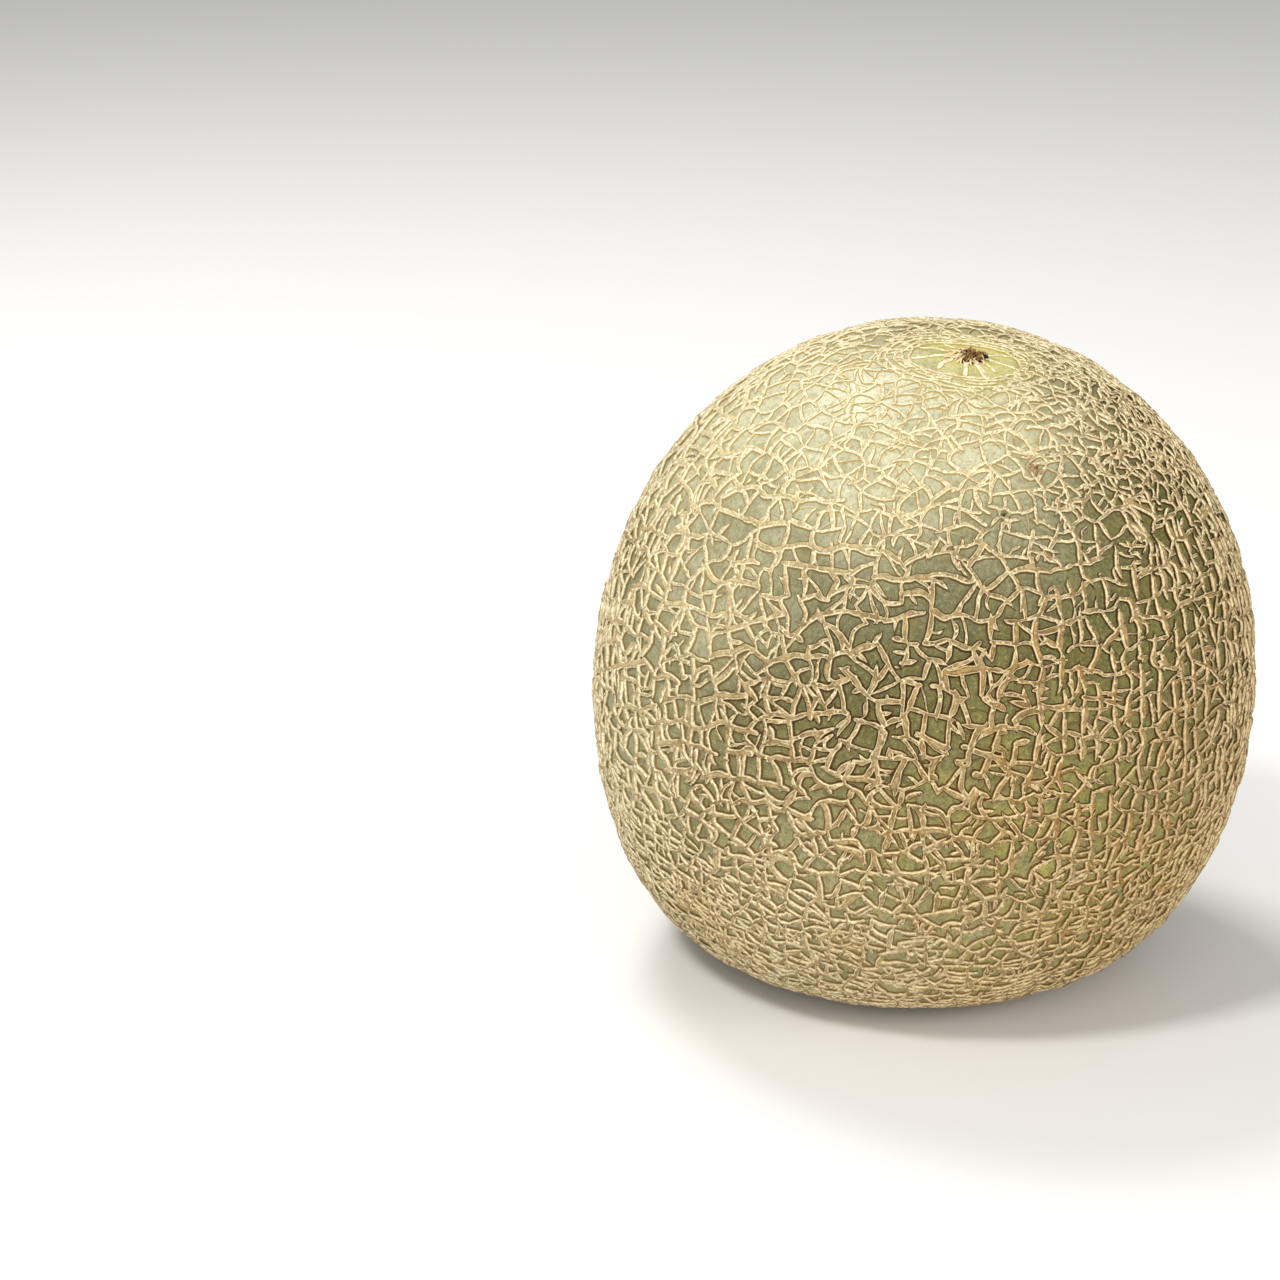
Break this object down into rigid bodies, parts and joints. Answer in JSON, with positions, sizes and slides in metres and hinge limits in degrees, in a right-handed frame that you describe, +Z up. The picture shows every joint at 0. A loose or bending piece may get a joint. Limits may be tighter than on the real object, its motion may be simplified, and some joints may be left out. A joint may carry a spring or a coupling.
{
  "type": "cantaloupe melon",
  "caption": "Whole netted cantaloupe melon with a raised cork net, a smooth stem basin with a torn stem scar, and a small flat spot that it rests on.",
  "frame": {"origin": "on the surface that the melon rests on, under the middle of its outline seen from above", "axes": "+Z up, -Y towards the side that the stem end leans to, +X to the right seen from -Y"},
  "size_m": [0.1549, 0.1556, 0.1524],
  "materials": {
    "rind": "tan cork net in relief over smooth grey-green skin, softly glossy skin and matt cork"
  },
  "bodies": {
    "root": {"melon": "rind"}
  },
  "joints": []
}
